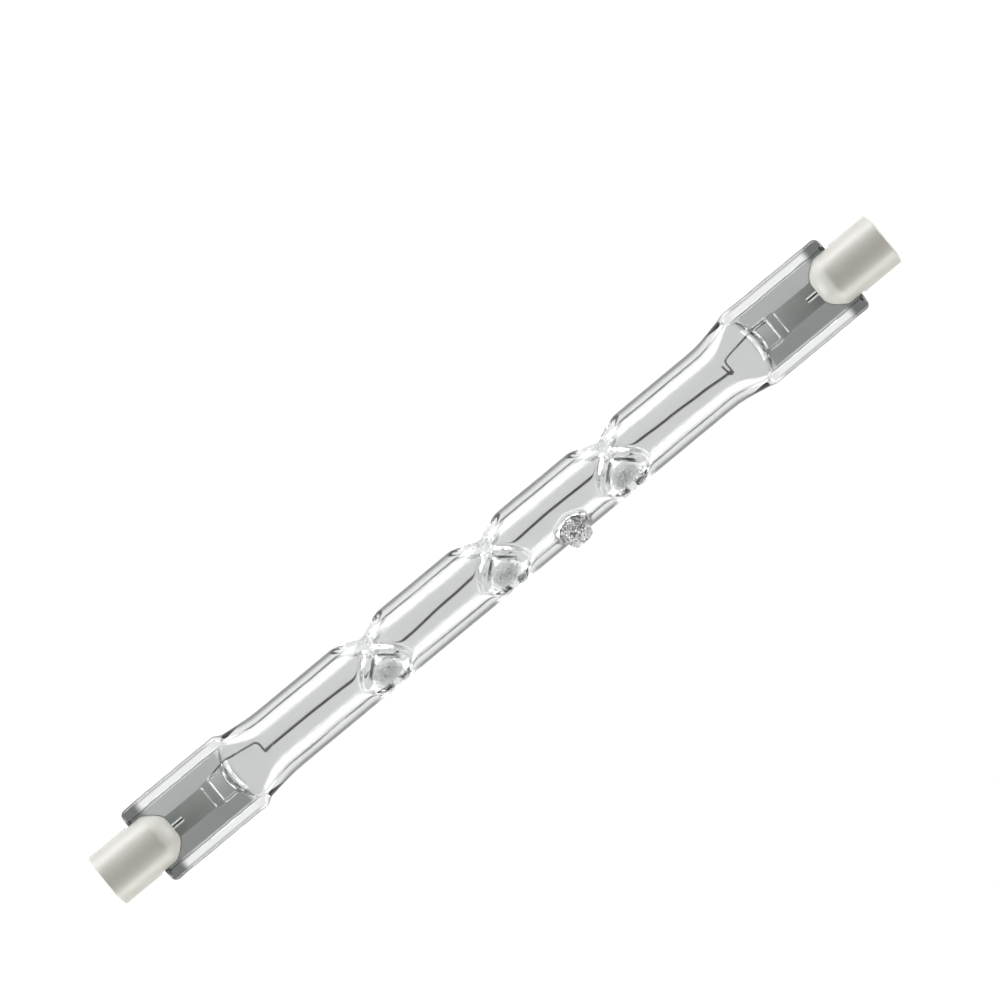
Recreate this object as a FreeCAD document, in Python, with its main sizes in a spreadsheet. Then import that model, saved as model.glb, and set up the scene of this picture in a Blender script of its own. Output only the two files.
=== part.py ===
import FreeCAD, Part
import math
import os
import Sketcher

doc = FreeCAD.newDocument("linear_halogen_bulb")
sheet = doc.addObject("Spreadsheet::Sheet", "sizes")

# The lamp lies along X with its middle at the origin. Y is the width of the flat pinches.
SIZES = {
    # whole lamp and tube
    "overall_length": 117.6,
    "tube_diameter": 8.4,
    "wall": 1.0,
    # neck between tube and pinch
    "neck_length": 5.9,
    "neck_overlap": 0.6,
    "neck_middle_share": 0.5424,
    "neck_middle_width": 8.9,
    "neck_middle_height": 7.6,
    "neck_height": 5.6,
    "spread_left": 9.5,
    "spread_right": 10.2,
    "shoulder_length": 1.2,
    "shoulder_width": 7.0,
    "shoulder_height": 1.6,
    "cavity_setback": 1.0,
    "cavity_end_gap": 0.3,
    "cavity_end_width": 4.8,
    "cavity_end_height": 1.0,
    # press seal
    "pinch_length": 14.4,
    "pinch_in_cap": 3.9,
    "pinch_width": 10.4,
    "pinch_corner": 0.8,
    "bead_width": 1.2,
    "bead_thickness": 3.4,
    "bead_round_share": 0.42,
    "web_thickness": 2.0,
    "web_fillet_share": 0.42,
    "pad_offset": 1.1,
    "pad_length": 2.5,
    "pad_width": 3.4,
    "pad_rise": 0.25,
    "step_length": 0.9,
    "step_width": 3.0,
    "step_rise": 0.12,
    # dimples that steady the filament, pressed by three rollers around the tube
    "dimple_pitch": 17.9,
    "dimple_floor": 1.55,
    "dimple_flat": 1.3,
    "dimple_slope": 35.0,
    "dimple_lean": 30.0,
    "roller_radius": 4.5,
    "roller_shaft": 0.9,
    "roller_end_share": 1.5,
    # exhaust tip
    "tip_share": 0.525,
    "tip_lean": 45.0,
    "tip_reach": 6.65,
    "tip_base_diameter": 3.9,
    "tip_diameter": 3.0,
    "tip_root": 3.7,
    "tip_shoulder": 5.8,
    "tip_bore": 1.2,
    "tip_bore_end": 5.1,
    # sealing foil
    "foil_width": 3.0,
    "foil_thickness": 0.08,
    "foil_edge": 0.02,
    "foil_feather": 0.35,
    "foil_drop": 0.13,
    "foil_offset": 4.1,
    "foil_end_gap": 1.3,
    # lead wires
    "outer_lead_diameter": 0.64,
    "outer_lead_overlap": 4.1,
    "inner_lead_diameter": 0.32,
    "inner_lead_offset": 1.3,
    "inner_lead_overlap": 1.6,
    "crank_offset": 2.1,
    "crank_bend": 0.4,
    "spud_length": 0.9,
    # filament coil
    "coil_diameter": 0.66,
    "coil_clearance": 0.06,
    "tail_diameter": 0.16,
    "tail_length": 0.9,
    # ceramic cap
    "cap_diameter": 7.0,
    "cap_length": 10.0,
    "nose_face": 2.0,
    "nose_diameter": 6.9,
    "nose_tip_diameter": 4.6,
    "cap_rim": 0.3,
    "recess_diameter": 5.0,
    "recess_depth": 1.7,
    "slot_gap": 0.6,
    "cement_gap": 0.15,
    "cement_setback": 0.1,
    "cement_side": 0.5,
    # contact button
    "head_diameter": 4.0,
    "head_thickness": 0.6,
    "head_chamfer": 0.15,
    "stem_diameter": 1.6,
    "stem_length": 1.8,
    "weld_skin": 0.2,
    "contact_clearance": 0.04,
}
# Stations are distances from the middle of the lamp, worked out from its end inwards.
STATIONS = {
    "cap_inner": "[overall_length] / 2 - [cap_length]",
    "pinch_end": "[cap_inner] + [pinch_in_cap]",
    "pinch_start": "[pinch_end] - [pinch_length]",
    "slot_bottom": "[pinch_end] + [slot_gap]",
    "neck_end": "[pinch_start] + [neck_overlap]",
    "neck_start": "[neck_end] - [neck_length]",
    "neck_middle": "[neck_start] + [neck_middle_share] * [neck_length]",
    "shoulder_end": "[neck_end] + [shoulder_length]",
    "cavity_end": "[neck_end] - [cavity_end_gap]",
    "pad_start": "[pinch_start] + [pad_offset]",
    "pad_end": "[pad_start] + [pad_length]",
    "step_end": "[pad_end] + [step_length]",
    "foil_inner_end": "[pinch_start] + [foil_offset]",
    "foil_outer_end": "[pinch_end] - [foil_end_gap]",
    "outer_lead_start": "[foil_outer_end] - [outer_lead_overlap]",
    "crank_station": "[neck_start] + [crank_offset]",
    "tip_station": "[tip_share] * [dimple_pitch]",
    "roller_end": "[roller_end_share] * [dimple_pitch]",
}
ALIASES = list(SIZES) + list(STATIONS)
for row, alias in enumerate(ALIASES, start=1):
    sheet.set(f"A{row}", alias.replace("_", " "))
    sheet.setAlias(f"B{row}", alias)
    if alias in SIZES:
        sheet.set(f"B{row}", str(SIZES[alias]))
    else:
        sheet.set(f"B{row}", "=" + STATIONS[alias].replace("[", "").replace("]", ""))
doc.recompute()

ALONG_X = FreeCAD.Rotation(FreeCAD.Vector(1, 1, 1), 120)
X_AXIS = FreeCAD.Vector(1, 0, 0)
MIRROR_SIDES = {"right": 1, "left": -1}


def cell(words):
    """Turns a sum written with size names into an expression on the sheet."""
    out = words
    for alias in ALIASES:
        out = out.replace(f"[{alias}]", f"sizes.{alias}")
    return out


def number(words):
    return float(sheet.evalExpression(cell(words)))


def bind(obj, **sums):
    """Binds properties to the sheet. A double underscore stands for a dot."""
    for name, words in sums.items():
        obj.setExpression(name.replace("__", "."), cell(words))
    return obj


def add(kind, name, **sums):
    return bind(doc.addObject(kind, name), **sums)


def join(kind, name, shapes):
    obj = doc.addObject(kind, name)
    obj.Shapes = shapes
    return obj


def cut(name, base, tool):
    obj = doc.addObject("Part::Cut", name)
    obj.Base = base
    obj.Tool = tool
    return obj


def mirrored(name, source):
    obj = doc.addObject("Part::Mirroring", name)
    obj.Source = source
    obj.Normal = X_AXIS
    return obj


def new_body(name):
    return doc.addObject("PartDesign::Body", name)


def new_sketch(body, name, role, **offsets):
    """A sketch on one of the body's own planes, shifted by the sums in offsets."""
    sketch = body.newObject("Sketcher::SketchObject", name)
    plane = next(f for f in body.Origin.OriginFeatures if f.Role == role)
    sketch.AttachmentSupport = [(plane, "")]
    sketch.MapMode = "FlatFace"
    for axis, words in offsets.items():
        bind(sketch, **{f"AttachmentOffset__Base__{axis}": words})
    return sketch


def pin_point(sketch, geometry, end, sums):
    """Fixes one end of a line or arc at a place given by two sums."""
    for kind, words, axis in zip(("DistanceX", "DistanceY"), sums, (-2, -1)):
        if words == "0":
            sketch.addConstraint(Sketcher.Constraint("PointOnObject", geometry, end, axis))
            continue
        index = sketch.addConstraint(Sketcher.Constraint(kind, -1, 1, geometry, end, number(words)))
        bind(sketch, **{f"Constraints[{index}]": words})


def arc_between(first, last, radius, turn):
    """The short arc between two points, on the left of the chord for a turn of 1."""
    chord = last - first
    rise = math.sqrt(max(radius**2 - chord.Length**2 / 4, 0))
    side = FreeCAD.Vector(-chord.y, chord.x, 0).normalize() * turn
    middle = (first + last) / 2
    centre = middle + side * rise
    crown = centre - side * radius
    return Part.Arc(first, crown, last)


def draw(sketch, corners, arcs=None, closed=True):
    """Draws an outline through corners. arcs gives the radius and turn of the sides that are round."""
    arcs = arcs or {}
    points = [FreeCAD.Vector(number(x), number(y), 0) for x, y in corners]
    count = len(points) if closed else len(points) - 1
    ends = []
    for i in range(count):
        first, last = points[i], points[(i + 1) % len(points)]
        if i in arcs:
            radius, turn = arcs[i]
            curve = arc_between(first, last, number(radius), turn)
            sketch.addGeometry(curve)
            start_is_first = sketch.getPoint(i, 1).distanceToPoint(first) < 1e-6
            ends.append((1, 2) if start_is_first else (2, 1))
            index = sketch.addConstraint(Sketcher.Constraint("Radius", i, number(radius)))
            bind(sketch, **{f"Constraints[{index}]": radius})
        else:
            sketch.addGeometry(Part.LineSegment(first, last))
            ends.append((1, 2))
    for i in range(count):
        pin_point(sketch, i, ends[i][0], corners[i])
        following = (i + 1) % len(points)
        if following < count:
            joint = Sketcher.Constraint("Coincident", i, ends[i][1], following, ends[following][0])
            sketch.addConstraint(joint)
        else:
            pin_point(sketch, i, ends[i][1], corners[following])


def pad(body, sketch, length, midplane=False):
    feature = body.newObject("PartDesign::Pad", sketch.Name + "_pad")
    feature.Profile = sketch
    feature.Midplane = midplane
    return bind(feature, Length=length)


def revolve(body, sketch, axis="H_Axis"):
    feature = body.newObject("PartDesign::Revolution", sketch.Name + "_turn")
    feature.Profile = sketch
    feature.ReferenceAxis = (sketch, [axis])
    feature.Angle = 360
    return feature


def section(name, side, station, width, height):
    """One oval section across the lamp axis, for a loft."""
    round_one = width == height
    obj = doc.addObject("Part::Circle" if round_one else "Part::Ellipse", name)
    obj.Placement.Rotation = ALONG_X
    bind(obj, Placement__Base__x=f"{side} * ({station})")
    if round_one:
        return bind(obj, Radius=f"({width}) / 2")
    bind(obj, MajorRadius=f"({width}) / 2")
    return bind(obj, MinorRadius=f"({height}) / 2")


def loft(name, sections, ruled=False):
    obj = doc.addObject("Part::Loft", name)
    obj.Sections = sections
    obj.Ruled = ruled
    obj.Solid = True
    return obj


def rod(name, diameter, start, end):
    """A round bar along X between two stations."""
    obj = add("Part::Cylinder", name, Radius=f"({diameter}) / 2", Height=f"({end}) - ({start})")
    obj.Placement.Rotation = ALONG_X
    return bind(obj, Placement__Base__x=start)


def block(name, start, end, width, bottom, top):
    """A box between two stations, centred on the width."""
    obj = add("Part::Box", name, Length=f"({end}) - ({start})", Width=width, Height=f"({top}) - ({bottom})")
    bind(obj, Placement__Base__x=start)
    bind(obj, Placement__Base__y=f"-({width}) / 2")
    return bind(obj, Placement__Base__z=bottom)


def neck(side_name, side):
    """Outside and inside of the flared neck at one end."""
    spread = f"[spread_{side_name}]"
    outside = loft(
        f"neck_{side_name}",
        [
            section(f"neck_round_{side_name}", side, "[neck_start]", "[tube_diameter]", "[tube_diameter]"),
            section(
                f"neck_oval_{side_name}", side, "[neck_middle]", "[neck_middle_width]", "[neck_middle_height]"
            ),
            section(f"neck_wide_{side_name}", side, "[neck_end]", spread, "[neck_height]"),
        ],
    )
    shoulder = loft(
        f"shoulder_{side_name}",
        [
            section(f"shoulder_wide_{side_name}", side, "[neck_end]", spread, "[neck_height]"),
            section(
                f"shoulder_thin_{side_name}", side, "[shoulder_end]", "[shoulder_width]", "[shoulder_height]"
            ),
        ],
    )
    bore = "[tube_diameter] - 2 * [wall]"
    inside = loft(
        f"neck_inside_{side_name}",
        [
            section(f"inside_round_{side_name}", side, "[neck_start]", bore, bore),
            section(
                f"inside_oval_{side_name}",
                side,
                "[neck_middle]",
                "[neck_middle_width] - 2 * [wall]",
                "[neck_middle_height] - 2 * [wall]",
            ),
            section(
                f"inside_wide_{side_name}",
                side,
                "[neck_end] - [cavity_setback]",
                f"{spread} - 2 * [wall]",
                "[neck_height] - 2 * [wall]",
            ),
            section(
                f"inside_end_{side_name}", side, "[cavity_end]", "[cavity_end_width]", "[cavity_end_height]"
            ),
        ],
        ruled=True,
    )
    return outside, shoulder, inside


def pinch():
    """The right pinch: a pressed section with two thick beads, trimmed to rounded corners."""
    half, edge = "[pinch_width] / 2", "([pinch_width] / 2 - [bead_width])"
    top, web = "[bead_thickness] / 2", "[web_thickness] / 2"
    side_height = f"({top} - {web})"
    bead_round, web_fillet = f"([bead_round_share] * {side_height})", f"([web_fillet_share] * {side_height})"
    quarter = [
        (half, f"{top} - {bead_round}"),
        (f"{half} - {bead_round}", top),
        (f"{edge} + {bead_round}", top),
        (edge, f"{top} - {bead_round}"),
        (edge, f"{web} + {web_fillet}"),
        (f"{edge} - {web_fillet}", web),
    ]
    flip = {"x": lambda p: (f"-({p[0]})", p[1]), "y": lambda p: (p[0], f"-({p[1]})")}
    upper = quarter + [flip["x"](p) for p in reversed(quarter)]
    outline = upper + [flip["y"](p) for p in reversed(upper)]
    rounds = {}
    for i in range(0, len(outline), 2):
        is_fillet = i % 12 in (4, 6)
        rounds[i] = (web_fillet, -1) if is_fillet else (bead_round, 1)
    pressed = new_body("pinch_section_right")
    sketch = new_sketch(pressed, "pinch_outline", "YZ_Plane", z="[pinch_start]")
    draw(sketch, outline, rounds)
    pad(pressed, sketch, "[pinch_end] - [pinch_start]")

    end, corner = "[pinch_end]", "[pinch_corner]"
    plan = new_body("pinch_plan_right")
    plan_sketch = new_sketch(plan, "pinch_plan_outline", "XY_Plane")
    plan_corners = [
        ("[pinch_start]", f"-({half})"),
        (f"{end} - {corner}", f"-({half})"),
        (end, f"-({half} - {corner})"),
        (end, f"{half} - {corner}"),
        (f"{end} - {corner}", half),
        ("[pinch_start]", half),
    ]
    draw(plan_sketch, plan_corners, {1: (corner, 1), 3: (corner, 1)})
    pad(plan, plan_sketch, "[bead_thickness]", midplane=True)
    trimmed = join("Part::MultiCommon", "pinch_trimmed_right", [pressed, plan])

    reliefs = []
    for name, start, stop, width, rise in (
        ("pad", "[pad_start]", "[pad_end]", "[pad_width]", "[pad_rise]"),
        ("step", "[pad_end]", "[step_end]", "[step_width]", "[step_rise]"),
    ):
        face = f"([web_thickness] / 2 + {rise})"
        reliefs.append(block(f"pinch_{name}_right", start, stop, width, f"-{face}", face))
    return join("Part::MultiFuse", "pinch_right", [trimmed] + reliefs)


def roller(name, turn, grow):
    """One dimpling roller beside the tube, with a rim at each station. grow makes the inside of the wall."""
    slope = "tan([dimple_slope])"
    rim = f"[roller_radius] + {grow}"
    flat = f"([dimple_flat] / 2 + {grow} * tan([dimple_slope] / 2))"
    foot = f"({flat} + ({rim} - [roller_shaft]) / {slope})"
    corners = [("-[roller_end]", "0"), ("-[roller_end]", "[roller_shaft]")]
    for place in ("-[dimple_pitch]", "0 * [dimple_pitch]", "[dimple_pitch]"):
        corners += [
            (f"{place} - {foot}", "[roller_shaft]"),
            (f"{place} - {flat}", rim),
            (f"{place} + {flat}", rim),
            (f"{place} + {foot}", "[roller_shaft]"),
        ]
    corners += [("[roller_end]", "[roller_shaft]"), ("[roller_end]", "0")]
    body = new_body(name)
    sketch = new_sketch(body, name + "_outline", "XZ_Plane", y="[dimple_floor] + [roller_radius]")
    draw(sketch, corners)
    revolve(body, sketch)
    body.Placement.Rotation = FreeCAD.Rotation(X_AXIS, 1)
    return bind(body, Placement__Rotation__Angle=f"[dimple_lean] + {turn}")


def exhaust_tip():
    """The melted stub of the exhaust tube, with the bore that it closed."""
    base, neck_radius, end = "[tip_base_diameter] / 2", "([tip_diameter] / 2)", "[tip_reach]"
    dome = "([tip_reach] - [tip_shoulder])"
    stub = new_body("tip")
    outline = new_sketch(stub, "tip_outline", "XZ_Plane")
    corners = [
        ("0", "[tip_root]"),
        (base, "[tip_root]"),
        (neck_radius, "[tip_shoulder]"),
        ("0", end),
    ]
    draw(outline, corners, {2: (f"({dome} * {dome} + {neck_radius} * {neck_radius}) / (2 * {dome})", 1)})
    revolve(stub, outline, "V_Axis")
    stub.Placement.Rotation = FreeCAD.Rotation(X_AXIS, 1)
    bind(stub, Placement__Base__x="[tip_station]", Placement__Rotation__Angle="[tip_lean]")

    hole = add("Part::Cylinder", "tip_hole", Radius="[tip_bore] / 2", Height="[tip_bore_end]")
    hole.Placement.Rotation = FreeCAD.Rotation(X_AXIS, 1)
    bind(hole, Placement__Base__x="[tip_station]", Placement__Rotation__Angle="[tip_lean]")
    return stub, hole


def foil():
    """Thin strip with feathered edges, just under the lead wires."""
    body = new_body("foil_right")
    half, flat = "[foil_width] / 2", "([foil_width] / 2 - [foil_feather])"
    thick, thin = "[foil_thickness] / 2", "[foil_edge] / 2"
    middle = "-([foil_drop] + [foil_thickness] / 2)"
    sketch = new_sketch(body, "foil_outline", "YZ_Plane", y=middle, z="[foil_inner_end]")
    upper = [(half, thin), (flat, thick), (f"-{flat}", thick), (f"-({half})", thin)]
    outline = upper + [(x, f"-({y})") for x, y in reversed(upper)]
    draw(sketch, outline)
    pad(body, sketch, "[foil_outer_end] - [foil_inner_end]")
    return body


def weld_flat(name, start, end, offset):
    """Space under a lead wire where it is flattened onto the foil."""
    obj = block(name, start, end, "[foil_width]", "-[foil_width]", "-[foil_drop]")
    return bind(obj, Placement__Base__y=f"{offset} - [foil_width] / 2")


def outer_lead():
    end = "[overall_length] / 2 - [recess_depth] - [weld_skin]"
    wire = rod("outer_wire_right", "[outer_lead_diameter]", "[outer_lead_start]", end)
    flat = weld_flat("outer_flat_right", "[outer_lead_start]", "[foil_outer_end]", "0")
    return cut("outer_lead_right", wire, flat)


def inner_lead():
    """Wire from the foil along the neck, cranked to the axis and ending in a spud for the coil."""
    start = "[foil_inner_end] + [inner_lead_overlap]"
    crank, bend, offset = "[crank_station]", "[crank_bend]", "[inner_lead_offset]"
    body = new_body("inner_wire_right")
    path = new_sketch(body, "inner_path", "XY_Plane")
    corners = [
        (start, offset),
        (f"{crank} + {bend}", offset),
        (crank, f"{offset} - {bend}"),
        (crank, bend),
        (f"{crank} - {bend}", "0"),
        (f"{crank} - [spud_length]", "0"),
    ]
    draw(path, corners, closed=False)
    ring = new_sketch(body, "inner_wire_outline", "YZ_Plane", z=start, x=offset)
    ring.addGeometry(Part.Circle(FreeCAD.Vector(0, 0, 0), FreeCAD.Vector(0, 0, 1), 1))
    ring.addConstraint(Sketcher.Constraint("Coincident", 0, 3, -1, 1))
    index = ring.addConstraint(Sketcher.Constraint("Diameter", 0, number("[inner_lead_diameter]")))
    bind(ring, **{f"Constraints[{index}]": "[inner_lead_diameter]"})
    doc.recompute()
    pipe = body.newObject("PartDesign::AdditivePipe", "inner_wire_pipe")
    pipe.Profile = ring
    pipe.Spine = path
    pipe.Transition = "Right corner"
    flat = weld_flat("inner_flat_right", "[foil_inner_end]", start, offset)
    return cut("inner_lead_right", body, flat)


def filament():
    """The outer form of the coil. It sits on the spuds and ends in a short tail at each end."""
    end = "([crank_station] - [crank_bend] - [coil_clearance])"
    sleeve = rod("coil_sleeve", "[coil_diameter]", f"-{end}", end)
    bore = rod("coil_bore", "[inner_lead_diameter]", f"-{end}", end)
    tails = []
    for side_name, side in MIRROR_SIDES.items():
        tail = add("Part::Cylinder", f"tail_{side_name}", Height="[tail_length]")
        bind(tail, Radius="[tail_diameter] / 2")
        tail.Placement.Rotation = FreeCAD.Rotation(X_AXIS, -90)
        bind(tail, Placement__Base__x=f"{side} * ([crank_station] - [spud_length] - [tail_diameter])")
        tails.append(bind(tail, Placement__Base__y="([coil_diameter] + [inner_lead_diameter]) / 4"))
    return join("Part::MultiFuse", "filament", [cut("coil", sleeve, bore)] + tails)


def ceramic_cap():
    end = "[overall_length] / 2"
    inner, radius = "[cap_inner]", "[cap_diameter] / 2"
    crease = "[nose_diameter] / 2"
    floor = f"({end} - [recess_depth])"
    seat = f"({floor} - [head_thickness])"
    recess, rim = "[recess_diameter] / 2", "[cap_rim]"
    seat_radius = "([head_diameter] / 2 + [contact_clearance])"
    hole = "([stem_diameter] / 2 + [contact_clearance])"
    body = new_body("ceramic_cap_right")
    outline = new_sketch(body, "cap_outline", "XY_Plane")
    corners = [
        (inner, hole),
        (inner, "[nose_tip_diameter] / 2"),
        (f"{inner} + [nose_face]", crease),
        (f"{inner} + [nose_face] + sqrt(({radius}) ^ 2 - ({crease}) ^ 2)", radius),
        (f"{end} - {rim}", radius),
        (end, f"{radius} - {rim}"),
        (end, recess),
        (floor, recess),
        (floor, seat_radius),
        (seat, seat_radius),
        (seat, hole),
    ]
    draw(outline, corners, {2: (radius, -1)})
    revolve(body, outline)

    slot = new_sketch(body, "cap_slot", "XZ_Plane")
    slot_half = "([web_thickness] / 2 + [cement_gap])"
    bottom = "[slot_bottom]"
    draw(
        slot,
        [(inner, f"-{slot_half}"), (bottom, f"-{slot_half}"), (bottom, slot_half), (inner, slot_half)],
    )
    pocket = body.newObject("PartDesign::Pocket", "cap_slot_pocket")
    pocket.Profile = slot
    pocket.Midplane = True
    bind(pocket, Length="[cap_diameter] * 2")
    return body


def contact():
    """Rivet button in the recess, with a blind bore for the outer lead."""
    face = "([overall_length] / 2 - [recess_depth])"
    back, chamfer = f"({face} - [head_thickness])", "[head_chamfer]"
    head, stem, bore = "[head_diameter] / 2", "[stem_diameter] / 2", "[outer_lead_diameter] / 2"
    body = new_body("contact_right")
    outline = new_sketch(body, "contact_outline", "XY_Plane")
    corners = [
        (f"{back} - [stem_length]", bore),
        (f"{back} - [stem_length]", stem),
        (back, stem),
        (back, head),
        (f"{face} - {chamfer}", head),
        (face, f"{head} - {chamfer}"),
        (face, "0"),
        (f"{face} - [weld_skin]", "0"),
        (f"{face} - [weld_skin]", bore),
    ]
    draw(outline, corners)
    revolve(body, outline)
    return body


def cement(envelope, wires):
    """Cement in the slot of the cap, around the end of the pinch and behind the face of the nose."""
    slot_half = "([web_thickness] / 2 + [cement_gap])"
    fill = block(
        "cement_fill_right",
        "[cap_inner] + [nose_face] + [cement_setback]",
        "[slot_bottom]",
        "[nose_diameter] - 2 * [cement_side]",
        f"-{slot_half}",
        slot_half,
    )
    around_pinch = cut("cement_around_pinch", fill, envelope)
    return cut("cement_right", around_pinch, wires)


# Pieces of the right end, and their mirror images at the left end
foil_right = foil()
doc.recompute()
ends = {"foil": foil_right, "outer_lead": outer_lead(), "inner_lead": inner_lead()}
left = {name: mirrored(f"{name}_left", piece) for name, piece in ends.items()}

# Quartz envelope
tube = rod("tube", "[tube_diameter]", "-[neck_start]", "[neck_start]")
bore = rod("tube_inside", "[tube_diameter] - 2 * [wall]", "-[neck_start]", "[neck_start]")
outer_shapes, inner_shapes = [tube], [bore]
for side_name, side in MIRROR_SIDES.items():
    outside, shoulder, inside = neck(side_name, side)
    outer_shapes += [outside, shoulder]
    inner_shapes.append(inside)
pinch_right = pinch()
tip_stub, tip_hole = exhaust_tip()
outer_shapes += [pinch_right, mirrored("pinch_left", pinch_right), tip_stub]
inner_shapes.append(tip_hole)
TURNS = (0, 120, 240)
outer_rollers = [roller(f"roller_{turn}", turn, "0 * [wall]") for turn in TURNS]
inner_rollers = [roller(f"roller_inside_{turn}", turn, "[wall]") for turn in TURNS]
blown = cut(
    "envelope_outside",
    join("Part::MultiFuse", "envelope_blank", outer_shapes),
    join("Part::MultiFuse", "rollers", outer_rollers),
)
cavity = cut(
    "envelope_inside",
    join("Part::MultiFuse", "cavity_blank", inner_shapes),
    join("Part::MultiFuse", "rollers_inside", inner_rollers),
)
hollow = cut("envelope_hollow", blown, cavity)
conductors = join("Part::MultiFuse", "conductors", list(ends.values()) + list(left.values()))
envelope = cut("quartz_envelope", hollow, conductors)

ends["ceramic_cap"] = ceramic_cap()
ends["contact"] = contact()
ends["cement"] = cement(envelope, conductors)
for name in ("ceramic_cap", "contact", "cement"):
    left[name] = mirrored(f"{name}_left", ends[name])
pieces = [envelope, filament()] + list(ends.values()) + list(left.values())
doc.recompute()

for obj in doc.Objects:
    if "Invalid" in obj.State or "Error" in obj.State:
        raise RuntimeError(f"{obj.Label} did not build: {obj.State}")
for piece in pieces:
    if piece.Shape.isNull() or not piece.Shape.isValid():
        raise RuntimeError(f"{piece.Label} has no valid shape")

os.makedirs("parts", exist_ok=True)
for piece in pieces:
    piece.Shape.exportStep(f"parts/{piece.Label}.step")
    print(piece.Label, len(piece.Shape.Solids), "solid", round(piece.Shape.Volume, 3))
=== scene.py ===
import math

import bpy
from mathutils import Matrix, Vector, noise


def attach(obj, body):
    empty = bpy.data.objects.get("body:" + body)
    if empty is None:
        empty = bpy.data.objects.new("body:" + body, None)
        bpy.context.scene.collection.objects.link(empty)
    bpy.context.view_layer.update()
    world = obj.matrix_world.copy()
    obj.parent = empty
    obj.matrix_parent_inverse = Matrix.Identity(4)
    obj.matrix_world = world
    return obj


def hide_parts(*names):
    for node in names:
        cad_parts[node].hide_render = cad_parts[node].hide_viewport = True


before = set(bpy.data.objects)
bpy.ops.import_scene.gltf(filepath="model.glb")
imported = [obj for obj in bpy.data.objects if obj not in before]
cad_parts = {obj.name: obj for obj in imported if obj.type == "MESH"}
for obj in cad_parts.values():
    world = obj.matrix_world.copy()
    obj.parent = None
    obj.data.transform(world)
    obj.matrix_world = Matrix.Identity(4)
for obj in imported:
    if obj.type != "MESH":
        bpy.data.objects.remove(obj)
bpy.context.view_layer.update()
mm = 0.001


# small helpers

def linearColour(hexText):
    parts = [int(hexText[i:i + 2], 16) / 255 for i in (1, 3, 5)]
    return tuple(c / 12.92 if c <= 0.04045 else ((c + 0.055) / 1.055) ** 2.4 for c in parts) + (1,)


def addNode(tree, kind, inputs=None, **settings):
    # inputs: name or number -> a socket to link or a value to set; settings: the node's own properties
    node = tree.nodes.new(kind)
    for name, value in settings.items():
        setattr(node, name, value)
    for name, value in (inputs or {}).items():
        if isinstance(value, bpy.types.NodeSocket):
            tree.links.new(value, node.inputs[name])
        else:
            node.inputs[name].default_value = value
    return node


def newMaterial(name):
    material = bpy.data.materials.new(name)
    material.use_nodes = True
    tree = material.node_tree
    tree.nodes.clear()
    output = addNode(tree, "ShaderNodeOutputMaterial")
    place = addNode(tree, "ShaderNodeTexCoord").outputs["Object"]
    return material, tree, output, place


def selectOnly(obj):
    bpy.ops.object.select_all(action="DESELECT")
    obj.select_set(True)
    bpy.context.view_layer.objects.active = obj


def startEdit(obj):
    selectOnly(obj)
    bpy.ops.object.mode_set(mode="EDIT")
    bpy.ops.mesh.select_all(action="SELECT")


def editDone():
    bpy.ops.object.mode_set(mode="OBJECT")


def closePiece(obj, smoothAngle):
    # doubles merged, faces turned outward, soft shading, place kept in the mesh
    selectOnly(obj)
    bpy.ops.object.transform_apply(location=True, rotation=True, scale=True)
    startEdit(obj)
    bpy.ops.mesh.remove_doubles(threshold=0.002 * mm)
    bpy.ops.mesh.delete_loose()
    bpy.ops.mesh.select_all(action="SELECT")
    bpy.ops.mesh.fill_holes(sides=12)
    bpy.ops.mesh.normals_make_consistent(inside=False)
    editDone()
    bpy.ops.object.shade_smooth_by_angle(angle=math.radians(smoothAngle))


def dress(obj, name, material, stands):
    obj.name = name
    obj.data.name = name
    obj.data.materials.clear()
    obj.data.materials.append(material)
    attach(obj, "root")
    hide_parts(stands)


def freeRamp(low, high, value):
    return (value - low) / (high - low)


def ramp(low, high, value):
    return min(max(freeRamp(low, high, value), 0), 1)


def smoothStep(low, high, value):
    t = ramp(low, high, value)
    return t * t * (3 - 2 * t)


def softMin(a, b, blend):
    h = min(max(0.5 + 0.5 * (b - a) / blend, 0), 1)
    return b + (a - b) * h - blend * h * (1 - h)


def softMax(a, b, blend):
    return -softMin(-a, -b, blend)


def throughPoints(points, x, step):
    # line through given points (place, value), in straight runs (freeRamp) or soft ones (smoothStep)
    for (x0, v0), (x1, v1) in zip(points, points[1:]):
        if x <= x1:
            return v0 + (v1 - v0) * step(x0, x1, x)
    return points[-1][1]


# camera: straight above the lamp, turned so that it crosses the frame from corner to corner

cameraSettings = {"height": 620, "frameWidth": 116.7, "sensor": 36, "turn": -39.65, "centre": (4.9, 5.0)}


def makeCamera(s):
    data = bpy.data.cameras.new("camera")
    data.sensor_width = s["sensor"]
    data.lens = s["sensor"] * s["height"] / s["frameWidth"]
    data.clip_start, data.clip_end = 0.01, 10
    camera = bpy.data.objects.new("camera", data)
    bpy.context.collection.objects.link(camera)
    camera.location = (s["centre"][0] * mm, s["centre"][1] * mm, s["height"] * mm)
    camera.rotation_euler = (0, 0, math.radians(s["turn"]))
    bpy.context.scene.camera = camera
    print("camera set", round(data.lens, 1), "mm lens")


# floor, softboxes and world

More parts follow.
